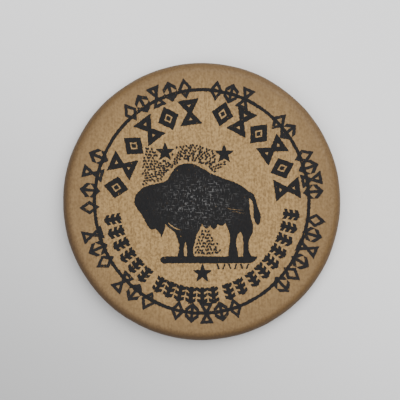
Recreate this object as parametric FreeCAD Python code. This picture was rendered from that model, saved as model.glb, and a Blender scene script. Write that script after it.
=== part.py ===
"""Printed wooden token, used at a card table as a dealer button or a counter.

A round three-ply hardwood disc with tumbled edges carries two layers of black ink on its front
face. The first is the stock print, a little narrower than it is high: a bison on a strip of ground,
three stars, two bands of ornament and a ring. The second is a rubber stamp struck across it: a thin
outer frieze that straddles the ring, and a hatched ribbon round the animal's back. Where the two
would lie on each other only the first is modelled, so that each spot of the face has one film.

Frame: millimetres, +Z out of the printed face, +Y towards the top of the picture, origin at the
centre of the back face. Angles run clockwise from +Y, as on a clock.
"""
import FreeCAD
import Part

import math
import os

Vec = FreeCAD.Vector

# ---- driving dimensions, mm -------------------------------------------------------------------
DISC_DIAMETER = 38.1
DISC_THICKNESS = 3.2
EDGE_ROUNDING = 1.2
PRINT_MARGIN = 0.63         # flat wood left between the outermost ink and the rounded edge
FACE_VENEER = 0.9           # each outer ply; the core takes what is left
GLUE_LINE = 0.06

PRINT_FILM = 0.03           # first layer of ink
STAMP_FILM = 0.05           # the stamp's ink, which lies thicker
PRINT_SHRINK = 0.96         # width of the first print over its height

# What follows is the size of the picture as drawn. It is then fitted to the face as a whole.
RING_RADIUS = 15.3          # to the middle of the stroke
RING_STROKE = 0.42
RING_GAP = 1.05             # bare wood between the ring and the bands inside it

UPPER_HEIGHT = 3.4          # bold band above the animal
UPPER_WIDTH = 2.95
UPPER_STROKE = 0.62         # of its diamonds, and the hourglasses' waist
UPPER_SLAB = 0.62           # stroke of its hourglasses
UPPER_BEAD = 0.75           # height of the bead in a diamond

LOWER_HEIGHT = 2.25         # narrow band below it
LOWER_SPACE = 0.05          # bare wood between its ears where they are closest
LOWER_STROKE = 0.5
EAR_PAIRS = 3               # pairs of grains on an ear
GRAIN_SHOULDER = 0.42       # where a grain meets its ear's side, over the height of a pair
GRAIN_CROOK = 0.58          # where its upper edge meets the stem, likewise

FRIEZE_HEIGHT = 2.8         # stamped outer frieze
FRIEZE_WIDTH = 1.85
FRIEZE_STROKE = 0.36
BARB_DROP = 0.3             # how far a spear's barbs fall back, over the spear's height
BARB_STROKES = 1.5          # how thick they are, in strokes

STAR_RADIUS = 1.35
STAR_WAIST = 0.42           # inner radius of a star over its outer radius

ANIMAL_ROOM = 0.95          # bare wood between the animal's nose and the band in front of it
ANIMAL_X = -0.55            # middle of the animal
GROUND_ROOM = 4.25          # from the lower band up to what its hooves stand on
GROUND_THICKNESS = 0.9
GROUND_TAPER = 1.35         # how much shorter the strip is along its lower edge at the right
GROUND_HOLLOW = 0.27        # how far in the thinning end is at half its height

INK_GAP = 0.1               # the least bare wood between a speck of the stamp and the first print

# ---- the bands: first and last angle of each group and how many ornaments it has --------------
# In the frieze, also how far the group's middle lies outside the ring.
UPPER_GROUPS = [(-81.0, -8.0, 6), (14.0, 82.0, 6)]
LOWER_GROUPS = [(98.0, 145.5, 7), (154.5, 162.5, 2), (172.5, 208.0, 6), (219.0, 259.0, 6)]
FRIEZE_UPPER_GROUPS = [
    (-38.5, -8.5, 5, 0.35),
    (7.5, 23.0, 3, 0.0),
    (44.0, 51.0, 2, -0.1),
    (66.0, 85.0, 4, 0.05),
    (99.5, 136.0, 6, 0.5),
]
FRIEZE_LOWER_GROUPS = [
    (162.5, 192.5, 5, 0.0),
    (208.5, 224.5, 3, 0.2),
    (238.0, 253.0, 3, 0.3),
    (267.0, 293.5, 4, 0.1),
]
# Stars: clock angle, and how far the middle lies inside the band beyond it.
UPPER_STARS = [(-36.5, 2.2), (25.3, 3.45)]
LOWER_STARS = [(179.4, 1.95)]

# ---- the animal, drawn 100 units long, nose to the left, hooves on y = 0 ------------------------
# Each run is smooth, and two runs meet in a corner.
ANIMAL_DRAWN_LENGTH = 100.0
ANIMAL_OUTLINE = [
    # brow, neck and hump, back and rump
    [(14.0, 56.5), (19.5, 57.8), (24.5, 59.5), (30.5, 67.5), (37.5, 72.6), (45.5, 72.9), (53.5, 69.3),
     (62.5, 64.4), (73.0, 60.6), (83.0, 56.4), (89.5, 51.5)],
    # tail, outer line down to the tip of the tuft
    [(89.5, 51.5), (94.2, 48.0), (96.4, 41.5), (98.6, 35.5), (99.6, 30.5), (97.2, 24.6)],
    # tuft and tail, inner line back up to the rump
    [(97.2, 24.6), (94.4, 29.0), (93.9, 35.0), (93.2, 42.0), (90.2, 46.2)],
    # buttock, thigh and hock
    [(90.2, 46.2), (90.8, 38.5), (91.6, 31.0), (93.4, 24.5), (93.0, 19.0), (90.4, 13.0), (90.0, 5.5),
     (92.6, 0.0)],
    # hind hoof and the gap between the hind legs
    [(92.6, 0.0), (85.6, 0.0)],
    [(85.6, 0.0), (85.8, 7.0), (85.4, 14.5), (83.4, 19.0), (80.4, 13.8), (80.6, 7.0), (81.6, 0.0)],
    [(81.6, 0.0), (74.2, 0.0)],
    # near hind leg, up to the flank
    [(74.2, 0.0), (74.6, 7.5), (75.4, 14.0), (74.0, 20.5), (71.6, 26.5)],
    # belly, with its fringe of hair
    [(71.6, 26.5), (68.6, 24.2), (65.8, 25.4)],
    [(65.8, 25.4), (62.6, 21.6), (60.0, 24.6)],
    [(60.0, 24.6), (56.5, 22.2), (53.6, 25.6)],
    # back of the shaggy foreleg
    [(53.6, 25.6), (51.2, 20.4), (49.0, 17.4)],
    [(49.0, 17.4), (47.6, 11.0), (46.4, 5.0), (47.4, 0.0)],
    [(47.4, 0.0), (41.6, 0.0)],
    # gap between the forelegs
    [(41.6, 0.0), (41.4, 6.0), (40.4, 11.4), (39.2, 5.6), (39.8, 0.0)],
    [(39.8, 0.0), (34.2, 0.0)],
    [(34.2, 0.0), (35.4, 6.2), (35.2, 11.0), (33.4, 15.0)],
    # chest, up to the notch behind the beard
    [(33.4, 15.0), (31.4, 19.4), (27.6, 22.6), (24.6, 25.8)],
    # beard
    [(24.6, 25.8), (23.6, 20.4), (21.4, 15.2)],
    [(21.4, 15.2), (19.4, 19.4), (16.8, 22.0)],
    [(16.8, 22.0), (14.2, 21.4), (11.4, 23.2)],
    # muzzle and face, up to the brow
    [(11.4, 23.2), (8.2, 28.6), (5.6, 33.6)],
    [(5.6, 33.6), (2.0, 38.4), (0.2, 44.0), (2.4, 49.6), (7.6, 54.2), (14.0, 56.5)],
]
# Bare lines in the ink, each an arched sliver: start, middle, end and width.
ANIMAL_SLITS = [
    ((26.5, 27.0), (31.0, 23.0), (37.0, 20.5), 0.9),      # under the mane
    ((71.5, 38.0), (79.5, 36.9), (87.5, 36.3), 0.45),     # streaks on the flank
    ((75.0, 35.8), (81.5, 34.5), (88.0, 33.7), 0.4),
]
# Strip of ground under the hooves, in the same units; its top edge is flat.
GROUND_START = 21.0
GROUND_END = 97.0
GRASS_TICKS = 6
GRASS_START = 66.0
GRASS_PITCH = 4.6
GRASS_LENGTH = 0.65
GRASS_STROKE = 0.18
GRASS_LEAN = 0.12           # how far each end of a tick leans out, this way and that in turn
GRASS_DROP = 0.45           # bare wood between the ground and the ticks under it

# ---- the hatched ribbon: rows of dashes along an arc over the animal's back ---------------------
# All its lengths are in the animal's units, so that it grows and shrinks with the animal.
RIBBON_CENTRE = (44.0, 50.0)
RIBBON_RADIUS = 25.5
RIBBON_ROWS = 7
RIBBON_ROW_PITCH = 1.92
RIBBON_FIRST_ANGLE = -80.0
RIBBON_LAST_ANGLE = 54.0
RIBBON_STEP = 4.0
DASH_LENGTH = 2.41
DASH_WIDTH = 1.44
DASH_TURN = 34.0            # the dashes lean this way and that in turn
DASH_WANDER = 0.4          # how far a dash strays from its row
# Where the ribbon's ends show again, in front of the animal and between its legs.
RIBBON_TAILS = [
    {"corner": (7.2, 60.5), "columns": 7, "rows": 11, "pitch": (2.12, 2.41), "lean": 0.04},
    {"corner": (48.6, 2.8), "columns": 9, "rows": 10, "pitch": (2.18, 2.41), "lean": 0.6},
]

# ---- sizes that follow from those above ---------------------------------------------------------
DISC_RADIUS = DISC_DIAMETER / 2
FACE_Z = DISC_THICKNESS
BAND_EDGE = RING_RADIUS - RING_STROKE / 2 - RING_GAP
UPPER_RADIUS = BAND_EDGE - UPPER_HEIGHT / 2
UPPER_INSIDE = BAND_EDGE - UPPER_HEIGHT
LOWER_RADIUS = BAND_EDGE - LOWER_HEIGHT / 2
LOWER_INSIDE = BAND_EDGE - LOWER_HEIGHT
LOWER_PITCH = min((last - first) / (count - 1) for first, last, count in LOWER_GROUPS)
LOWER_WIDTH = math.radians(LOWER_PITCH) * LOWER_INSIDE * PRINT_SHRINK - LOWER_SPACE
ANIMAL_LENGTH = 2 * (UPPER_INSIDE * PRINT_SHRINK - ANIMAL_ROOM + ANIMAL_X)
ANIMAL_SCALE = ANIMAL_LENGTH / ANIMAL_DRAWN_LENGTH
GROUND_Y = GROUND_ROOM - LOWER_INSIDE
FRIEZE_OFFSET = max(group[3] for group in FRIEZE_UPPER_GROUPS + FRIEZE_LOWER_GROUPS)
DRAWN_REACH = math.hypot(RING_RADIUS + FRIEZE_OFFSET + FRIEZE_HEIGHT / 2, FRIEZE_WIDTH / 2)
PICTURE_SCALE = (DISC_RADIUS - EDGE_ROUNDING - PRINT_MARGIN) / DRAWN_REACH
GOLDEN_ANGLE = math.pi * (3 - math.sqrt(5))     # steps the dashes' wander so that it never repeats


# ---- flat shapes, drawn at the origin with +Y outwards ------------------------------------------
def polygon(points):
    """A flat face with straight sides, facing +Z whichever way round the points run."""
    following = points[1:] + points[:1]
    turn = sum(x0 * y1 - x1 * y0 for (x0, y0), (x1, y1) in zip(points, following))
    corners = [Vec(x, y, 0) for x, y in (points if turn > 0 else points[::-1])]
    return Part.Face(Part.makePolygon(corners + corners[:1]))


def bar(width, height):
    """An upright rectangle."""
    w, h = width / 2, height / 2
    return polygon([(-w, -h), (w, -h), (w, h), (-w, h)])


def lozenge(width, height):
    """A solid diamond."""
    w, h = width / 2, height / 2
    return polygon([(0, h), (w, 0), (0, -h), (-w, 0)])


def hollow_lozenge(width, height, stroke):
    """A diamond drawn with an even stroke."""
    w, h = width / 2, height / 2
    inset = 1 - stroke / (w * h / math.hypot(w, h))
    return lozenge(width, height).cut(lozenge(width * inset, height * inset))


def fused(shapes):
    """Several flat shapes as one, with the seams between them taken out."""
    faces = [face for shape in shapes for face in shape.Faces]
    return faces[0].multiFuse(faces[1:]).removeSplitter()


def beaded_lozenge():
    """Bold hollow diamond with a bead in it."""
    bead = lozenge(UPPER_BEAD * UPPER_WIDTH / UPPER_HEIGHT, UPPER_BEAD)
    return Part.makeCompound([hollow_lozenge(UPPER_WIDTH, UPPER_HEIGHT, UPPER_STROKE), bead])


def hollow_hourglass(width, height, stroke, waist):
    """Two triangles tip to tip, drawn with an even stroke and joined by a waist."""
    w, h, neck = width / 2, height / 2, waist / 2
    shape = polygon([(-w, h), (w, h), (neck, 0), (w, -h), (-w, -h), (-neck, 0)])
    slope = math.hypot(w - neck, h) / h          # length of the slanted side for each unit of height
    corner = w - stroke * (slope + (w - neck) / h)
    tip = h - stroke - corner * h / (w - neck)
    for end in (1, -1):
        shape = shape.cut(polygon([
            (-corner, end * (h - stroke)), (corner, end * (h - stroke)), (0, end * tip),
        ]))
    return shape


def wheat_ear():
    """A stem with pairs of grains."""
    rise = LOWER_HEIGHT / EAR_PAIRS
    faces = [bar(LOWER_STROKE, LOWER_HEIGHT)]
    for pair in range(EAR_PAIRS):
        foot = -LOWER_HEIGHT / 2 + pair * rise
        for side in (-1, 1):
            tip = side * LOWER_WIDTH / 2
            faces.append(polygon([
                (0, foot), (tip, foot + rise * GRAIN_SHOULDER), (tip, foot + rise),
                (0, foot + rise * GRAIN_CROOK),
            ]))
    return fused(faces)


def spear():
    """A thin shaft with a barb at each end."""
    w, h, s = FRIEZE_WIDTH / 2, FRIEZE_HEIGHT / 2, FRIEZE_STROKE
    drop = FRIEZE_HEIGHT * BARB_DROP
    thick = s * BARB_STROKES
    barb = [(0, h), (w, h - drop), (w, h - drop - thick), (0, h - thick), (-w, h - drop - thick),
            (-w, h - drop)]
    barbs = [polygon([(x, end * y) for x, y in barb]) for end in (1, -1)]
    return fused([bar(s, FRIEZE_HEIGHT - s)] + barbs)


def star(angle, radius):
    """Five-pointed star with one point up, at a clock angle and a distance from the middle."""
    x = radius * math.sin(math.radians(angle))
    y = radius * math.cos(math.radians(angle))
    points = []
    for corner in range(10):
        reach = STAR_RADIUS * (STAR_WAIST if corner % 2 else 1)
        turn = math.radians(36 * corner)
        points.append((x + reach * math.sin(turn), y + reach * math.cos(turn)))
    return polygon(points)


def dash(x, y, turn):
    """A small lozenge turned by so many degrees."""
    face = lozenge(DASH_WIDTH * ANIMAL_SCALE, DASH_LENGTH * ANIMAL_SCALE)
    face.rotate(Vec(0, 0, 0), Vec(0, 0, 1), turn)
    face.translate(Vec(x, y, 0))
    return face


def arched_sliver(start, middle, end, width):
    """A thin lens between two arcs through nearly the same three points."""
    a, m, b = Vec(*start, 0), Vec(*middle, 0), Vec(*end, 0)
    across = (b - a).cross(Vec(0, 0, 1)).normalize() * (width / 2)
    edges = [Part.Arc(a, m + across, b).toShape(), Part.Arc(b, m - across, a).toShape()]
    return Part.Face(Part.Wire(edges))


# ---- placing ------------------------------------------------------------------------------------
def on_clock(face, angle, radius, shrink=1.0):
    """The shape moved out to a clock angle on a circle, or on an oval narrowed by shrink."""
    placed = face.copy()
    placed.rotate(Vec(0, 0, 0), Vec(0, 0, 1), -angle)
    turn = math.radians(angle)
    placed.translate(Vec(radius * shrink * math.sin(turn), radius * math.cos(turn), 0))
    return placed


def evenly(first, last, count):
    """count angles from first to last."""
    return [first + (last - first) * n / (count - 1) for n in range(count)]


def drawn(points):
    """Points of the animal's drawing, in the frame."""
    x0 = ANIMAL_X - ANIMAL_LENGTH / 2
    return [(x0 + x * ANIMAL_SCALE, GROUND_Y + y * ANIMAL_SCALE) for x, y in points]


def film(faces, thickness):
    """Flat shapes fitted to the disc and raised to a film of ink on its front face."""
    solids = []
    for face in faces:
        for part in face.Faces:
            raised = part.copy()
            raised.scale(PICTURE_SCALE)
            raised.translate(Vec(0, 0, FACE_Z))
            solids.append(raised.extrude(Vec(0, 0, thickness)))
    return Part.makeCompound(solids)


def meeting(face, others):
    """Those of the other faces whose bounding boxes meet this one's."""
    return [other for other in others if face.BoundBox.intersect(other.BoundBox)]


def clear_of(face, others):
    """Whether a flat shape lies on none of the others."""
    return all(not face.common(other).Faces for other in meeting(face, others))


def cut_round(face, others):
    """What is left of a flat shape where none of the others lies."""
    under = meeting(face, others)
    return face.cut(under).Faces if under else face.Faces


# ---- the wood -----------------------------------------------------------------------------------
def blank():
    """The whole tumbled disc, before it is told apart into plies."""
    disc = Part.makeCylinder(DISC_RADIUS, DISC_THICKNESS)
    rims = [e for e in disc.Edges if isinstance(e.Curve, Part.Circle)]
    return disc.makeFillet(EDGE_ROUNDING, rims)


def plies():
    """The five layers of the disc, from the back up."""
    core = DISC_THICKNESS - 2 * (FACE_VENEER + GLUE_LINE)
    layers = [
        ("back_veneer", FACE_VENEER),
        ("back_glue_line", GLUE_LINE),
        ("core_veneer", core),
        ("front_glue_line", GLUE_LINE),
        ("front_veneer", FACE_VENEER),
    ]
    disc, z, found = blank(), 0.0, {}
    for name, thickness in layers:
        slab = Part.makeCylinder(DISC_DIAMETER, thickness, Vec(0, 0, z))
        found[name] = disc.common(slab)
        z += thickness
    return found


# ---- first print --------------------------------------------------------------------------------
def oval(radius):
    """The face inside an oval that is radius high and narrowed by the shrink."""
    edge = Part.Ellipse(Vec(0, 0, 0), radius, radius * PRINT_SHRINK).toShape()
    edge.rotate(Vec(0, 0, 0), Vec(0, 0, 1), 90)
    return Part.Face(Part.Wire(edge))


def ring():
    return oval(RING_RADIUS + RING_STROKE / 2).cut(oval(RING_RADIUS - RING_STROKE / 2))


def stars():
    places = [(angle, UPPER_INSIDE - inside) for angle, inside in UPPER_STARS]
    places += [(angle, LOWER_INSIDE - inside) for angle, inside in LOWER_STARS]
    return [star(angle, radius) for angle, radius in places]


def upper_band():
    """Diamonds and hourglasses in turn."""
    glass = hollow_hourglass(UPPER_WIDTH, UPPER_HEIGHT, UPPER_SLAB, UPPER_STROKE)
    motifs = [beaded_lozenge(), glass]
    faces = []
    for first, last, count in UPPER_GROUPS:
        for n, angle in enumerate(evenly(first, last, count)):
            faces.append(on_clock(motifs[n % 2], angle, UPPER_RADIUS, PRINT_SHRINK))
    return faces


def lower_band():
    """Ears of wheat, tips towards the animal."""
    ear = wheat_ear()
    ear.rotate(Vec(0, 0, 0), Vec(0, 0, 1), 180)
    faces = []
    for first, last, count in LOWER_GROUPS:
        for angle in evenly(first, last, count):
            faces.append(on_clock(ear, angle, LOWER_RADIUS, PRINT_SHRINK))
    return faces


def animal():
    """The bison in solid ink, with a few bare lines."""
    edges = []
    for run in ANIMAL_OUTLINE:
        points = [Vec(x, y, 0) for x, y in drawn(run)]
        if len(points) == 2:
            edges.append(Part.LineSegment(*points).toShape())
        else:
            curve = Part.BSplineCurve()
            curve.interpolate(points)
            edges.append(curve.toShape())
    body = Part.Face(Part.Wire(edges))
    for start, middle, end, width in ANIMAL_SLITS:
        body = body.cut(arched_sliver(*drawn([start, middle, end]), width * ANIMAL_SCALE))
    return body


def ground():
    """A strip with a flat top, a round left end and a right end that thins out."""
    (left, _), (right, _) = drawn([(GROUND_START, 0), (GROUND_END, 0)])
    top, low = GROUND_Y, GROUND_Y - GROUND_THICKNESS
    middle = (top + low) / 2
    half = GROUND_THICKNESS / 2
    corners = [(left + half, top), (right, top), (right - GROUND_TAPER, low), (left + half, low)]
    a, b, c, d = (Vec(x, y, 0) for x, y in corners)
    return Part.Face(Part.Wire([
        Part.LineSegment(a, b).toShape(),
        Part.Arc(b, Vec(right - GROUND_HOLLOW, middle, 0), c).toShape(),
        Part.LineSegment(c, d).toShape(),
        Part.Arc(d, Vec(left, middle, 0), a).toShape(),
    ]))


def grass_ticks():
    """Short strokes under the right half of the ground."""
    faces = []
    y = GROUND_Y - GROUND_THICKNESS - GRASS_DROP
    for n in range(GRASS_TICKS):
        (x, _), = drawn([(GRASS_START + n * GRASS_PITCH, 0)])
        lean = GRASS_LEAN if n % 2 else -GRASS_LEAN
        half, stroke = GRASS_LENGTH / 2, GRASS_STROKE / 2
        faces.append(polygon([
            (x - stroke - lean, y - half), (x + stroke - lean, y - half),
            (x + stroke + lean, y + half), (x - stroke + lean, y + half),
        ]))
    return faces


# ---- stamp across it ----------------------------------------------------------------------------
def frieze(groups):
    """Thin ornaments on a circle, in groups: diamond, spear, hourglass, spear and again."""
    diamond = hollow_lozenge(FRIEZE_WIDTH, FRIEZE_HEIGHT, FRIEZE_STROKE)
    glass = hollow_hourglass(FRIEZE_WIDTH, FRIEZE_HEIGHT, FRIEZE_STROKE, FRIEZE_STROKE)
    motifs = [diamond, spear(), glass, spear()]
    faces = []
    for first, last, count, offset in groups:
        for n, angle in enumerate(evenly(first, last, count)):
            faces.append(on_clock(motifs[n % len(motifs)], angle, RING_RADIUS + offset))
    return faces


def ribbon(first_print):
    """Rows of leaning dashes. One that would come near the first print is left out."""
    spots = []
    (centre_x, centre_y), = drawn([RIBBON_CENTRE])
    steps = int((RIBBON_LAST_ANGLE - RIBBON_FIRST_ANGLE) / RIBBON_STEP)
    for row in range(RIBBON_ROWS):
        radius = (RIBBON_RADIUS + row * RIBBON_ROW_PITCH) * ANIMAL_SCALE
        for n in range(steps):
            angle = RIBBON_FIRST_ANGLE + (n + 0.5 * (row % 2)) * RIBBON_STEP
            turn = math.radians(angle)
            x = centre_x + radius * math.sin(turn)
            y = centre_y + radius * math.cos(turn)
            spots.append((x, y, DASH_TURN * (1 if n % 2 else -1) - angle))
    for tail in RIBBON_TAILS:
        corner_x, corner_y = tail["corner"]
        across, up = tail["pitch"]
        for row in range(tail["rows"]):
            for column in range(tail["columns"] - int(row * tail["lean"])):
                (x, y), = drawn([(corner_x + (column + 0.5 * (row % 2)) * across, corner_y + row * up)])
                spots.append((x, y, DASH_TURN * (1 if column % 2 else -1)))

    kept = []
    wander = DASH_WANDER * ANIMAL_SCALE
    clearance = DASH_LENGTH * ANIMAL_SCALE / 2 + INK_GAP
    for n, (x, y, turn) in enumerate(spots):
        x += wander * math.sin(n * GOLDEN_ANGLE)
        y += wander * math.cos(3 * n * GOLDEN_ANGLE)
        mark = dash(x, y, turn)
        room = Part.Face(Part.Wire(Part.makeCircle(clearance, Vec(x, y, 0))))
        if clear_of(room, first_print) and clear_of(mark, kept):
            kept.append(mark)
    return kept


def main():
    nodes = plies()

    # Each layer of ink is one film, so what is laid later stops at what lies there already.
    laid = []

    def lay(name, faces, thickness):
        start = len(laid)
        for face in faces:
            laid.extend(cut_round(face, laid))
        nodes[name] = film(laid[start:], thickness)

    lay("print_bison", [animal()], PRINT_FILM)
    lay("print_ground", [ground()], PRINT_FILM)
    lay("print_stars", stars(), PRINT_FILM)
    lay("print_ring", [ring()], PRINT_FILM)
    lay("print_upper_band", upper_band(), PRINT_FILM)
    lay("print_lower_band", lower_band(), PRINT_FILM)
    lay("print_grass", grass_ticks(), PRINT_FILM)

    lay("stamp_ribbon", ribbon(laid), STAMP_FILM)
    lay("stamp_upper_frieze", frieze(FRIEZE_UPPER_GROUPS), STAMP_FILM)
    lay("stamp_lower_frieze", frieze(FRIEZE_LOWER_GROUPS), STAMP_FILM)

    os.makedirs("parts", exist_ok=True)
    for name, shape in nodes.items():
        shape.exportStep(os.path.join("parts", name + ".step"))
        print(f"{name}: {len(shape.Solids)} solids, {shape.Volume:.3f} mm3, valid {shape.isValid()}")


if __name__ == "__main__":
    main()
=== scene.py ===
import math

import bmesh
import bpy
from bpy.props import FloatProperty, FloatVectorProperty, IntProperty, PointerProperty
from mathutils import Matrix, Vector


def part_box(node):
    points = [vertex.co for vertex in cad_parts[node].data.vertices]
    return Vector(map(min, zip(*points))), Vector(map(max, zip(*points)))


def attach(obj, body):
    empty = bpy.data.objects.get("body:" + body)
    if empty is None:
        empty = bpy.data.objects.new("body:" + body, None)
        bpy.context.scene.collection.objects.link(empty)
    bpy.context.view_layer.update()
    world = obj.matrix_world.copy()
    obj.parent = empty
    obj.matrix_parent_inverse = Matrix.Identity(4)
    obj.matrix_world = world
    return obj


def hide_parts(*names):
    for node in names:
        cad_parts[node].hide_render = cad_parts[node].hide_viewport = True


bl_info = {
    "name": "Printed Wooden Token",
    "version": (1, 0, 0),
    "blender": (4, 5, 0),
    "location": "3D View > Sidebar > Token",
    "description": "Makes a worn three-ply wooden token with its prints, and a plain stage to show it on",
    "category": "Object",
}

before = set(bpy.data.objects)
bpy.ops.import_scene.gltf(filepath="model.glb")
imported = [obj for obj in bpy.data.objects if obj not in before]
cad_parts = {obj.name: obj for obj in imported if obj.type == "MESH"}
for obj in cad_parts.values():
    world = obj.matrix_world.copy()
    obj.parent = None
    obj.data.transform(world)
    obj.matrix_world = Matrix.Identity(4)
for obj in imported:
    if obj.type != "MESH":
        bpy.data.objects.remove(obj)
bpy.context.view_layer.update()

MM = 0.001
DISC_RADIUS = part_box("core_veneer")[1][0]
FACE_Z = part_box("front_veneer")[1][2]
TOUCH = 0.01 * MM  # heights nearer than this are the same

# New piece, the node it stands for and its material slot, from the back up.
LAYERS = [
    ("token_back_veneer", "back_veneer", "face_veneer"),
    ("token_back_glue", "back_glue_line", "glue"),
    ("token_core", "core_veneer", "core_veneer"),
    ("token_front_glue", "front_glue_line", "glue"),
    ("token_front_veneer", "front_veneer", "face_veneer"),
]
FIRST_PRINT = [
    "print_ring", "print_upper_band", "print_lower_band", "print_stars", "print_ground", "print_grass",
]
STAMP = ["stamp_upper_frieze", "stamp_lower_frieze", "stamp_ribbon"]

RIM_STEPS = 24                      # parts of a layer's side, from its top to its bottom
HIDDEN_RINGS = 6                    # rings in the mesh of a face that another layer covers
WOOD_WELD = 0.001 * MM              # points nearer than this become one
SMOOTH_UP_TO = math.radians(40)     # sharper edges of the wood than this stay sharp

# Sizes of the patterns that wear the wood and let the ink stray.
FACE_WAVE_SIZE = 5.0 * MM
RIM_WEAR_SIZE = 4.2 * MM
INK_BLEED_SIZE = 0.22 * MM
NEXT_COARSER = 0.13                 # how much coarser the pattern is for each direction in turn

INK_WELD = 0.0005 * MM
INK_INNER_EDGE = 1.2 * MM           # longest edge inside a patch of ink
MOST_HALVINGS = 10                  # times that an edge of ink may be halved
LEAST_UP = 0.9                      # Z of a normal that counts as pointing up
FLAT_WITHIN = math.radians(0.5)     # faces whose normals differ by less than this are one face

# Radii in mm: where the handled margin starts to darken and where it is darkest, and then the same two
# for the rim, whose burnish is darkened further with painted shade of the rounded edge.
RIM = DISC_RADIUS / MM
MARGIN_REACH = (RIM - 7.55, RIM - 0.85)
RIM_BURNISH_AND_SHADE_REACH = (RIM - 1.55, RIM - 0.15)
# The way from the middle to the side of the disc and the floor that carries painted shade, where the light
# falls less.
PAINTED_SHADE_SIDE = (-0.55, -0.83, 0.0)
# Where the ink is rubbed most, mm: X, Y, half width and half height.
WORN_SPOT = (-0.3, 0.0, 8.0, 5.0)

# Place and width of each light in metres, and the camera's sensor and the floor.
KEY_LIGHT = ((0.14, 0.2, 0.42), 0.5)
FILL_LIGHT = ((-0.3, -0.2, 0.8), 0.9)
SENSOR_MM = 36.0
FLOOR_Z = -0.02 * MM  # a hair below the token, so that the two don't share a plane


# ---- sizes and colours that can be set ----------------------------------------------------------
class TokenSizes(bpy.types.PropertyGroup):
    """Sizes of the finish on the wood and the ink"""
    edge_rounding: FloatProperty(
        name="Edge rounding", description="Radius of the tumbled edge, as on the blank",
        default=1.2 * MM, min=0.2 * MM, unit="LENGTH", precision=5)
    turning_steps: IntProperty(
        name="Turning steps", description="Facets round the disc", default=300, min=64)
    face_pitch: FloatProperty(
        name="Face pitch", description="Distance between rings of the face's mesh",
        default=0.36 * MM, min=0.1 * MM, unit="LENGTH", precision=5)
    face_wave: FloatProperty(
        name="Face wave", description="How far the face stands up and dips",
        default=0.014 * MM, min=0.0, unit="LENGTH", precision=6)
    rim_wear: FloatProperty(
        name="Rim wear", description="How far tumbling has worn the rim out of round",
        default=0.05 * MM, min=0.0, unit="LENGTH", precision=6)
    ink_bleed: FloatProperty(
        name="Ink bleed", description="How far the edge of the ink strays into the grain",
        default=0.095 * MM, min=0.0, unit="LENGTH", precision=6)
    ink_creep: FloatProperty(
        name="Ink creep", description="How far the ink has spread beyond its block",
        default=0.03 * MM, min=0.0, unit="LENGTH", precision=6)
    ink_edge: FloatProperty(
        name="Ink edge", description="Longest edge along an outline of ink",
        default=0.16 * MM, min=0.05 * MM, unit="LENGTH", precision=5)


class TokenColours(bpy.types.PropertyGroup):
    """Colours of the wood and the ink"""
    veneer: FloatVectorProperty(
        name="Veneer", description="Clean face of the veneer", subtype="COLOR", size=3,
        default=(0.285, 0.171, 0.055), min=0, max=1)
    veneer_grain: FloatVectorProperty(
        name="Grain", description="Darker grain of the veneer", subtype="COLOR", size=3,
        default=(0.138, 0.076, 0.0195), min=0, max=1)
    margin: FloatVectorProperty(
        name="Margin", description="Handled wood outside the ring", subtype="COLOR", size=3,
        default=(0.11, 0.0595, 0.0165), min=0, max=1)
    # Burnished wood round the edge, made darker still as painted shade of the rounded edge.
    rim: FloatVectorProperty(
        name="Rim", description="Burnished wood round the edge", subtype="COLOR", size=3,
        default=(0.045, 0.0225, 0.008), min=0, max=1)
    glue: FloatVectorProperty(
        name="Glue", description="Glue line between the plies", subtype="COLOR", size=3,
        default=(0.05, 0.028, 0.014), min=0, max=1)
    ink: FloatVectorProperty(
        name="Ink", description="Stock print", subtype="COLOR", size=3,
        default=(0.0075, 0.0075, 0.0082), min=0, max=1)
    stamp: FloatVectorProperty(
        name="Stamp", description="Ink of the rubber stamp", subtype="COLOR", size=3,
        default=(0.009, 0.009, 0.01), min=0, max=1)
    rubbed_ink: FloatVectorProperty(
        name="Rubbed ink", description="Grey of ink that is worn thin", subtype="COLOR", size=3,
        default=(0.105, 0.104, 0.102), min=0, max=1)
    floor: FloatVectorProperty(
        name="Floor", description="Pale surface under the token", subtype="COLOR", size=3,
        default=(0.71, 0.71, 0.715), min=0, max=1)
    # Painted shade: the floor's colour on the side where the light falls less.
    floor_shade: FloatVectorProperty(
        name="Floor shade", description="The same surface on its greyer side", subtype="COLOR", size=3,
        default=(0.34, 0.34, 0.342), min=0, max=1)


class TokenStage(bpy.types.PropertyGroup):
    """Camera, lights and floor"""
    camera_height: FloatProperty(
        name="Camera height", description="Height of the lens over the floor",
        default=0.4, min=0.1, unit="LENGTH")
    view_width: FloatProperty(
        name="View width", description="Width of the picture at the middle of the disc's edge",
        default=55.0 * MM, min=0.01, unit="LENGTH", precision=4)
    camera_x: FloatProperty(
        name="Camera X", description="Sideways place of the camera", default=-0.234 * MM, unit="LENGTH",
        precision=6)
    camera_y: FloatProperty(
        name="Camera Y", description="Place of the camera along the floor", default=0.206 * MM,
        unit="LENGTH", precision=6)
    key_power: FloatProperty(
        name="Key light", description="Power of the large light up and to the right", default=3.6, min=0.0,
        unit="POWER")
    fill_power: FloatProperty(
        name="Fill light", description="Power of the light on the other side", default=4.6, min=0.0,
        unit="POWER")
    room_light: FloatProperty(
        name="Room light", description="Strength of the even light from all round", default=0.62, min=0.0)
    floor_size: FloatProperty(
        name="Floor size", description="Width of the floor", default=3.0, min=0.2, unit="LENGTH")


# ---- work at the bench --------------------------------------------------------------------------
def nothing_selected():
    """Leaves object mode with nothing selected."""
    if bpy.context.object and bpy.context.object.mode != "OBJECT":
        bpy.ops.object.mode_set(mode="OBJECT")
    bpy.ops.object.select_all(action="DESELECT")


def edit(piece):
    """Opens a piece in edit mode and returns its edit mesh."""
    nothing_selected()
    bpy.context.view_layer.objects.active = piece
    piece.select_set(True)
    bpy.ops.object.mode_set(mode="EDIT")
    return bmesh.from_edit_mesh(piece.data)


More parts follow.
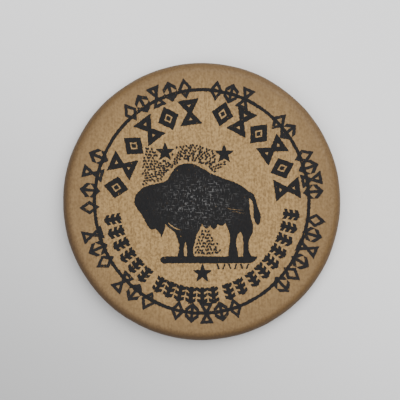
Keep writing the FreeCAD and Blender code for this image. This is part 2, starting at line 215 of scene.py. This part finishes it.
def apply_modifier(piece, kind, **settings):
    """Adds a modifier, sets it and applies it."""
    nothing_selected()
    bpy.context.view_layer.objects.active = piece
    piece.select_set(True)
    modifier = piece.modifiers.new(kind.title(), kind)
    for name, value in settings.items():
        setattr(modifier, name, value)
    bpy.ops.object.modifier_apply(modifier=modifier.name)


def cloud(name, size, depth):
    """A soft procedural pattern to push a surface about with."""
    texture = bpy.data.textures.get(name) or bpy.data.textures.new(name, "CLOUDS")
    texture.noise_scale = size
    texture.noise_depth = depth
    return texture


def push(piece, name, size, reach, directions, depth=2):
    """Moves a piece's surface by up to about reach along each direction named."""
    for direction in directions:
        # Each direction has a pattern of its own, a little coarser than the one before.
        coarser = 1.0 + NEXT_COARSER * "XYZ".index(direction)
        texture = cloud(f"{name}_{direction}", size * coarser, depth)
        apply_modifier(
            piece, "DISPLACE", texture=texture, texture_coords="LOCAL", direction=direction,
            mid_level=0.5, strength=2 * reach)


def finish_piece(piece, node, material):
    """Gives a piece its finish, hides the node that it stands for and hangs it under the root body."""
    piece.data.materials.clear()
    piece.data.materials.append(material)
    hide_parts(node)
    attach(piece, "root")


# ---- finishes -----------------------------------------------------------------------------------
class Finish:
    """A material in the making. Lengths in its nodes are millimetres on the piece."""

    def __init__(self, name):
        self.material = bpy.data.materials.new(name)
        self.material.use_nodes = True
        self.tree = self.material.node_tree
        self.shader = self.tree.nodes["Principled BSDF"]
        self.place = self.stretched(self.add("ShaderNodeTexCoord").outputs["Object"], (1 / MM,) * 3)

    def add(self, kind, **settings):
        """Adds a node and sets it."""
        node = self.tree.nodes.new(kind)
        for name, value in settings.items():
            setattr(node, name, value)
        return node

    def join(self, value, socket):
        """Links a socket's value to another socket, or sets it to a plain one."""
        if isinstance(value, bpy.types.NodeSocket):
            self.tree.links.new(value, socket)
        else:
            socket.default_value = value

    def stretched(self, vector, scale):
        """A place with each of its coordinates scaled."""
        node = self.add("ShaderNodeMapping")
        self.join(vector, node.inputs["Vector"])
        node.inputs["Scale"].default_value = scale
        return node.outputs["Vector"]

    def noise(self, scale, stretch=(1, 1, 1), detail=3.0, roughness=0.55, distortion=0.0):
        """Noise from 0 to 1 with about scale features per millimetre."""
        node = self.add("ShaderNodeTexNoise")
        self.join(self.stretched(self.place, stretch), node.inputs["Vector"])
        node.inputs["Scale"].default_value = scale
        node.inputs["Detail"].default_value = detail
        node.inputs["Roughness"].default_value = roughness
        node.inputs["Distortion"].default_value = distortion
        return node.outputs["Fac"]

    def worked_out(self, operation, a, b):
        """One step of arithmetic on two values."""
        node = self.add("ShaderNodeMath", operation=operation)
        self.join(a, node.inputs[0])
        self.join(b, node.inputs[1])
        return node.outputs[0]

    def plus(self, a, b):
        return self.worked_out("ADD", a, b)

    def minus(self, a, b):
        return self.worked_out("SUBTRACT", a, b)

    def times(self, a, b):
        return self.worked_out("MULTIPLY", a, b)

    def larger(self, a, b):
        return self.worked_out("MAXIMUM", a, b)

    def band(self, value, low, high, start=0.0, end=1.0):
        """start below low, end above high, and a smooth slope between."""
        node = self.add("ShaderNodeMapRange", interpolation_type="SMOOTHSTEP")
        self.join(value, node.inputs["Value"])
        for name, number in (("From Min", low), ("From Max", high), ("To Min", start), ("To Max", end)):
            node.inputs[name].default_value = number
        return node.outputs["Result"]

    def mix(self, amount, a, b):
        """Colour a where amount is 0, colour b where it is 1, and a blend of them between."""
        node = self.add("ShaderNodeMix", data_type="RGBA")
        self.join(amount, node.inputs["Factor"])
        # The node has an A and a B of every type, and uses those of its own.
        colour_sockets = [socket for socket in node.inputs if socket.type == "RGBA"]
        for value, socket in zip((a, b), colour_sockets):
            self.join(value if isinstance(value, bpy.types.NodeSocket) else (*value, 1.0), socket)
        return next(socket for socket in node.outputs if socket.type == "RGBA")

    def vector_step(self, operation, vector, other=None):
        """One step of arithmetic on a place. Gives the node, as its result is a place or a number."""
        node = self.add("ShaderNodeVectorMath", operation=operation)
        self.join(vector, node.inputs[0])
        if other:
            node.inputs[1].default_value = other
        return node

    def radius(self):
        """Distance from the disc's axis."""
        flat = self.vector_step("MULTIPLY", self.place, (1, 1, 0))
        return self.vector_step("LENGTH", flat.outputs["Vector"]).outputs["Value"]

    def towards(self, direction):
        """How far the place lies along a direction over the disc."""
        return self.vector_step("DOT_PRODUCT", self.place, direction).outputs["Value"]

    def off_centre(self, spot):
        """Nought at the middle of a spot, 1 at its edge and more beyond it.

        A spot is the X and Y of its middle, its half width and its half height.
        """
        x, y, half_width, half_height = spot
        moved = self.vector_step("SUBTRACT", self.place, (x, y, 0))
        scaled = self.vector_step("MULTIPLY", moved.outputs["Vector"], (1 / half_width, 1 / half_height, 0))
        return self.vector_step("LENGTH", scaled.outputs["Vector"]).outputs["Value"]

    def bump(self, height, depth, strength):
        """Raises the surface where height is 1 by up to depth millimetres."""
        node = self.add("ShaderNodeBump")
        node.inputs["Strength"].default_value = strength
        node.inputs["Distance"].default_value = depth * MM
        self.join(height, node.inputs["Height"])
        self.join(node.outputs["Normal"], self.shader.inputs["Normal"])

    def surface(self, colour, roughness, specular=None):
        """Gives the shader its colour and roughness, and its specular level where it isn't the usual one."""
        self.join(colour, self.shader.inputs["Base Color"])
        self.join(roughness, self.shader.inputs["Roughness"])
        if specular is not None:
            self.shader.inputs["Specular IOR Level"].default_value = specular


def veneer_look(finish, colours, grain_axis="Y", burnish_and_shade=0.85):
    """Colour of bare handled veneer, height of its grain and depth of its pores.

    Its last argument is how much of the rim colour the rim takes on: burnish, darkened further with painted
    shade.
    """
    # Patterns of the wood, drawn out along its grain where they follow it.
    along = {"X": (0.05, 1, 1), "Y": (1, 0.05, 1)}[grain_axis]
    fibre = finish.noise(7.0, along, detail=5.0, roughness=0.62)
    figure = finish.noise(0.55, along, detail=3.0, distortion=0.3)
    mottle = finish.noise(3.2, (1, 0.8, 1), detail=4.0, roughness=0.72)
    blotch = finish.noise(0.16, detail=3.0)
    pores = finish.band(finish.noise(9.0, (1, 0.13, 1), detail=2.0), 0.63, 0.74)

    grain = finish.plus(finish.times(fibre, 0.3), finish.times(mottle, 0.7))
    colour = finish.mix(finish.band(grain, 0.4, 0.62), colours.veneer, colours.veneer_grain)
    colour = finish.mix(finish.band(figure, 0.4, 0.75, end=0.2), colour, colours.veneer_grain)
    colour = finish.mix(finish.times(pores, 0.35), colour, colours.margin)

    # The inner edge of the margin wanders by up to millimetres, and that of the rim by a fraction of one.
    wander = finish.times(finish.minus(blotch, 0.5), 5.0)
    reach = finish.plus(finish.radius(), wander)
    colour = finish.mix(finish.band(reach, *MARGIN_REACH, end=0.75), colour, colours.margin)
    edge = finish.plus(finish.radius(), finish.times(finish.minus(mottle, 0.5), 0.5))
    # Painted shade: the rim darkens more towards the side that the light leaves in shade, on top of its
    # burnish.
    painted_side_shade = finish.band(finish.towards(PAINTED_SHADE_SIDE), -16.0, 16.0, start=0.55)
    rim_burnish_and_shade = finish.times(finish.band(edge, *RIM_BURNISH_AND_SHADE_REACH, end=burnish_and_shade), painted_side_shade)
    colour = finish.mix(rim_burnish_and_shade, colour, colours.rim)
    return colour, grain, pores


def veneer_finish(colours, name, grain_axis, burnish_and_shade):
    """Bare handled veneer."""
    finish = Finish(name)
    colour, grain, pores = veneer_look(finish, colours, grain_axis, burnish_and_shade)
    finish.surface(colour, finish.band(grain, 0.3, 0.7, 0.5, 0.68), specular=0.35)
    finish.bump(finish.minus(grain, finish.times(pores, 0.6)), depth=0.03, strength=0.6)
    return finish.material


def glue_finish(colours):
    """Dark cured glue, here and there the colour of the rim."""
    finish = Finish("glue_line")
    colour = finish.mix(finish.noise(1.4), colours.glue, colours.rim)
    finish.surface(colour, finish.band(finish.noise(6.0), 0.3, 0.7, 0.45, 0.6))
    return finish.material


def ink_finish(colours, name, ink, wear, weave):
    """Ink over veneer.

    wear is how much has gone in flecks, and weave is how much is rubbed grey in a cross hatch.
    """
    finish = Finish(name)
    wood, grain, _ = veneer_look(finish, colours)
    flecks = finish.noise(5.5, (1, 0.4, 1), detail=3.0, roughness=0.6)
    patches = finish.noise(0.35, detail=2.0)
    # Flecks gather in patches.
    loss = finish.plus(flecks, finish.times(patches, 0.25))
    gone = finish.band(loss, 0.86 - wear, 0.96 - wear)

    # The hatch is short strokes both ways, and fades out from the spot that is worn most.
    upright = finish.band(finish.noise(6.2, (1, 0.25, 1), detail=2.0), 0.57, 0.68)
    level = finish.band(finish.noise(6.2, (0.2, 1, 1), detail=2.0), 0.58, 0.69)
    nearness = finish.minus(finish.noise(0.5, detail=2.0), finish.off_centre(WORN_SPOT))
    worn = finish.band(nearness, -0.5, 0.35)
    rubbed = finish.times(finish.times(finish.larger(upright, level), worn), weave)

    lift = finish.band(finish.noise(3.0, (1, 0.5, 1), detail=4.0), 0.35, 0.8)
    colour = finish.mix(finish.times(lift, 0.02), ink, colours.veneer_grain)
    colour = finish.mix(rubbed, colour, colours.rubbed_ink)
    colour = finish.mix(finish.times(gone, 0.8), colour, wood)
    finish.surface(colour, finish.band(flecks, 0.3, 0.7, 0.6, 0.8), specular=0.1)
    finish.bump(finish.minus(grain, gone), depth=0.02, strength=0.5)
    return finish.material


def floor_finish(colours):
    """A pale board with painted shade that greys it slowly towards the side that the light leaves darker."""
    finish = Finish("pale_board")
    # Painted shade: a slow fall of the light across the floor, made a little uneven.
    unevenness = finish.times(finish.noise(0.02, detail=2.0), 8.0)
    drift = finish.plus(finish.towards(PAINTED_SHADE_SIDE), unevenness)
    colour = finish.mix(finish.band(drift, -14.0, 54.0), colours.floor, colours.floor_shade)
    finish.surface(colour, finish.band(finish.noise(1.5), 0.3, 0.7, 0.6, 0.7), specular=0.2)
    return finish.material


# ---- pieces -------------------------------------------------------------------------------------
def rim_radius(z, rounding):
    """Radius of the blank at a height, on the straight edge or on either rounding."""
    into = max(rounding - z, z - (FACE_Z - rounding), 0.0)
    return DISC_RADIUS - rounding + math.sqrt(max(rounding ** 2 - into ** 2, 0.0))


def layer_profile(low, high, sizes):
    """Radius and height down one side of a layer: out over its top, down its rim, in over its bottom."""
    side = []
    for step in range(RIM_STEPS + 1):
        # Heights lie closer together towards the layer's own top and bottom.
        share = (1 + math.cos(math.pi * step / RIM_STEPS)) / 2
        z = low + (high - low) * share
        side.append((rim_radius(z, sizes.edge_rounding), z))
    return across(side[0], sizes) + side + across(side[-1], sizes)[::-1]


def across(edge, sizes):
    """Points from the axis out to a point of the side, close together only on a face that shows."""
    radius, z = edge
    shows = z > FACE_Z - TOUCH or z < TOUCH
    rings = round(radius / sizes.face_pitch) if shows else HIDDEN_RINGS
    return [(radius * ring / rings, z) for ring in range(rings)]


def turned(name, profile, steps):
    """A closed solid turned from a profile that starts and ends on the Z axis."""
    # One point of a small plane is kept, to be drawn out along the profile.
    nothing_selected()
    bpy.ops.mesh.primitive_plane_add(size=MM, location=(0, 0, 0))
    piece = bpy.context.object
    piece.name = piece.data.name = name
    mesh = edit(piece)
    mesh.verts.ensure_lookup_table()
    for vert in mesh.verts:
        vert.select_set(vert.index != 0)
    mesh.select_flush_mode()
    bmesh.update_edit_mesh(piece.data)
    bpy.ops.mesh.delete(type="VERT")
    mesh = bmesh.from_edit_mesh(piece.data)
    mesh.verts.ensure_lookup_table()
    start = mesh.verts[0]
    start.co = (profile[0][0], 0, profile[0][1])
    start.select_set(True)
    bmesh.update_edit_mesh(piece.data)
    for (r0, z0), (r1, z1) in zip(profile, profile[1:]):
        bpy.ops.mesh.extrude_vertices_move(TRANSFORM_OT_translate={"value": (r1 - r0, 0, z1 - z0)})
    bpy.ops.mesh.select_all(action="SELECT")
    bpy.ops.mesh.spin(steps=steps, angle=2 * math.pi, center=(0, 0, 0), axis=(0, 0, 1))
    bpy.ops.mesh.select_all(action="SELECT")
    bpy.ops.mesh.remove_doubles(threshold=WOOD_WELD)
    bpy.ops.mesh.normals_make_consistent(inside=False)
    nothing_selected()
    return piece


def wear(piece, sizes):
    """The same slow waves on every layer and all the ink, so that neighbours still meet."""
    push(piece, "face_wave", FACE_WAVE_SIZE, sizes.face_wave, "Z")
    push(piece, "rim_wear", RIM_WEAR_SIZE, sizes.rim_wear, "XY")


def ink_outline(source, name):
    """The top of a film of ink as flat faces, without the triangles that it came in."""
    nothing_selected()
    piece = bpy.data.objects.new(name, source.data.copy())
    piece.data.name = name
    bpy.context.scene.collection.objects.link(piece)
    edit(piece)
    bpy.ops.mesh.select_all(action="SELECT")
    bpy.ops.mesh.remove_doubles(threshold=INK_WELD)
    bpy.ops.mesh.select_mode(type="FACE")
    mesh = bmesh.from_edit_mesh(piece.data)
    for face in mesh.faces:
        face.select_set(face.normal.z < LEAST_UP)
    bmesh.update_edit_mesh(piece.data)
    bpy.ops.mesh.delete(type="FACE")
    bpy.ops.mesh.select_all(action="SELECT")
    bpy.ops.mesh.dissolve_limited(angle_limit=FLAT_WITHIN)
    return piece


def divide_long_edges(piece, longest, inner):
    """Halves edges until none on an outline is longer than longest, or elsewhere than inner."""
    bpy.ops.mesh.select_mode(type="EDGE")
    for _ in range(MOST_HALVINGS):
        mesh = bmesh.from_edit_mesh(piece.data)
        long_edges = []
        for edge in mesh.edges:
            edge.select_set(False)
            if edge.calc_length() > (longest if edge.is_boundary else inner):
                long_edges.append(edge)
        if not long_edges:
            break
        for edge in long_edges:
            edge.select_set(True)
        bmesh.update_edit_mesh(piece.data)
        bpy.ops.mesh.subdivide(number_cuts=1)
        bpy.ops.mesh.select_all(action="SELECT")
        bpy.ops.mesh.quads_convert_to_tris(quad_method="BEAUTY", ngon_method="BEAUTY")
        bpy.ops.mesh.select_all(action="DESELECT")
    bpy.ops.mesh.select_all(action="SELECT")
    bpy.ops.mesh.quads_convert_to_tris(quad_method="BEAUTY", ngon_method="BEAUTY")
    bpy.ops.mesh.beautify_fill()


def creep(piece, reach):
    """Moves the outline of flat ink outwards by reach, which also rounds its corners off."""
    moves = {}
    for edge in edit(piece).edges:
        if not edge.is_boundary:
            continue
        start, end = edge.verts
        outwards = (end.co - start.co).cross(Vector((0, 0, 1))).normalized()
        if outwards.dot(edge.link_faces[0].calc_center_median() - start.co) > 0:
            outwards.negate()
        for vert in edge.verts:
            moves[vert] = moves.get(vert, Vector()) + outwards
    for vert, move in moves.items():
        vert.co += move.normalized() * reach
    bmesh.update_edit_mesh(piece.data)


def laid_ink(node, material, sizes, bleed=1.0, spread=1.0):
    """A film of ink with ragged edges, draped over the face's waves.

    bleed and spread are shares of the usual bleed and creep.
    """
    low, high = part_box(node)
    piece = ink_outline(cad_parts[node], "ink_" + node)
    divide_long_edges(piece, sizes.ink_edge, INK_INNER_EDGE)
    creep(piece, sizes.ink_creep * spread)
    nothing_selected()
    wear(piece, sizes)
    push(piece, "ink_bleed", INK_BLEED_SIZE, sizes.ink_bleed * bleed, "XY", depth=1)
    edit(piece)
    bpy.ops.mesh.select_all(action="SELECT")
    bpy.ops.mesh.extrude_region_move(TRANSFORM_OT_translate={"value": (0, 0, low[2] - high[2])})
    bpy.ops.mesh.select_all(action="SELECT")
    bpy.ops.mesh.normals_make_consistent(inside=False)
    nothing_selected()
    finish_piece(piece, node, material)


def add_light(name, place, width, power):
    """Adds a round soft light, unseen itself, that faces the middle of the token's back."""
    bpy.ops.object.light_add(type="AREA", location=place)
    light = bpy.context.object
    light.name = light.data.name = name
    light.data.shape = "DISK"
    light.data.size = width
    light.data.energy = power
    light.visible_camera = False
    light.rotation_euler = light.location.to_track_quat("Z", "Y").to_euler()


# ---- operators ----------------------------------------------------------------------------------
class TOKEN_OT_plies(bpy.types.Operator):
    """Turns the three plies and the two glue lines between them"""
    bl_idname = "token.plies"
    bl_label = "Plies and glue lines"
    bl_options = {"REGISTER", "UNDO"}

    def execute(self, context):
        sizes, colours = context.scene.token_sizes, context.scene.token_colours
        finishes = {
            "face_veneer": veneer_finish(colours, "face_veneer", "Y", burnish_and_shade=0.85),
            "core_veneer": veneer_finish(colours, "core_veneer", "X", burnish_and_shade=0.45),
            "glue": glue_finish(colours),
        }
        for name, node, slot in LAYERS:
            low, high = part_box(node)
            piece = turned(name, layer_profile(low[2], high[2], sizes), sizes.turning_steps)
            wear(piece, sizes)
            bpy.ops.object.shade_smooth_by_angle(angle=SMOOTH_UP_TO)
            finish_piece(piece, node, finishes[slot])
        return {"FINISHED"}


class TOKEN_OT_first_print(bpy.types.Operator):
    """Lays the stock print: ring, bands, stars, ground and grass"""
    bl_idname = "token.first_print"
    bl_label = "Stock print"
    bl_options = {"REGISTER", "UNDO"}

    def execute(self, context):
        sizes, colours = context.scene.token_sizes, context.scene.token_colours
        finish = ink_finish(colours, "stock_ink", colours.ink, wear=0.07, weave=0.15)
        for node in FIRST_PRINT:
            laid_ink(node, finish, sizes)
        return {"FINISHED"}


class TOKEN_OT_bison(bpy.types.Operator):
    """Lays the bison, the largest patch of ink, which is rubbed grey in the weave of what it lay against"""
    bl_idname = "token.bison"
    bl_label = "Bison"
    bl_options = {"REGISTER", "UNDO"}

    def execute(self, context):
        sizes, colours = context.scene.token_sizes, context.scene.token_colours
        finish = ink_finish(colours, "bison_ink", colours.ink, wear=0.045, weave=0.85)
        # Its bare streaks are so narrow that ink spread in full would close them.
        laid_ink("print_bison", finish, sizes, spread=0.2)
        return {"FINISHED"}


class TOKEN_OT_stamp(bpy.types.Operator):
    """Lays the rubber stamp: both arcs of the outer frieze and the hatched ribbon"""
    bl_idname = "token.stamp"
    bl_label = "Rubber stamp"
    bl_options = {"REGISTER", "UNDO"}

    def execute(self, context):
        sizes, colours = context.scene.token_sizes, context.scene.token_colours
        finish = ink_finish(colours, "stamp_ink", colours.stamp, wear=0.1, weave=0.15)
        for node in STAMP:
            laid_ink(node, finish, sizes, bleed=0.4 if node == "stamp_ribbon" else 0.8)
        return {"FINISHED"}


class TOKEN_OT_stage(bpy.types.Operator):
    """Sets out the floor, the lights and the camera"""
    bl_idname = "token.stage"
    bl_label = "Stage"
    bl_options = {"REGISTER", "UNDO"}

    def execute(self, context):
        stage, colours = context.scene.token_stage, context.scene.token_colours
        nothing_selected()
        bpy.ops.mesh.primitive_plane_add(size=stage.floor_size, location=(0, 0, FLOOR_Z))
        floor = context.object
        floor.name = "floor"
        floor.data.materials.append(floor_finish(colours))

        world = bpy.data.worlds.new("soft_room")
        world.use_nodes = True
        background = world.node_tree.nodes["Background"]
        background.inputs["Color"].default_value = (1.0, 1.0, 1.0, 1.0)
        background.inputs["Strength"].default_value = stage.room_light
        context.scene.world = world

        add_light("key_light", *KEY_LIGHT, stage.key_power)
        add_light("fill_light", *FILL_LIGHT, stage.fill_power)

        middle = FACE_Z / 2
        bpy.ops.object.camera_add(location=(stage.camera_x, stage.camera_y, stage.camera_height))
        camera = context.object
        camera.name = "overhead_camera"
        camera.data.sensor_width = SENSOR_MM
        camera.data.lens = SENSOR_MM * (stage.camera_height - middle) / stage.view_width
        context.scene.camera = camera
        return {"FINISHED"}


class TOKEN_PT_bench(bpy.types.Panel):
    """Sizes, colours and steps of the token"""
    bl_idname = "TOKEN_PT_bench"
    bl_label = "Wooden token"
    bl_space_type = "VIEW_3D"
    bl_region_type = "UI"
    bl_category = "Token"

    def draw(self, context):
        for group in (context.scene.token_sizes, context.scene.token_colours, context.scene.token_stage):
            box = self.layout.box()
            for name in group.__annotations__:
                box.prop(group, name)
        for step in STEPS:
            self.layout.operator(step.bl_idname)


STEPS = [TOKEN_OT_stage, TOKEN_OT_plies, TOKEN_OT_first_print, TOKEN_OT_bison, TOKEN_OT_stamp]
CLASSES = [TokenSizes, TokenColours, TokenStage, *STEPS, TOKEN_PT_bench]


def register():
    for cls in CLASSES:
        bpy.utils.register_class(cls)
    bpy.types.Scene.token_sizes = PointerProperty(type=TokenSizes)
    bpy.types.Scene.token_colours = PointerProperty(type=TokenColours)
    bpy.types.Scene.token_stage = PointerProperty(type=TokenStage)


def unregister():
    del bpy.types.Scene.token_stage
    del bpy.types.Scene.token_colours
    del bpy.types.Scene.token_sizes
    for cls in reversed(CLASSES):
        bpy.utils.unregister_class(cls)


def main():
    """Makes the stage and the token."""
    register()
    bpy.ops.token.stage()
    bpy.ops.token.plies()
    bpy.ops.token.first_print()
    bpy.ops.token.bison()
    bpy.ops.token.stamp()


if __name__ == "__main__":
    main()
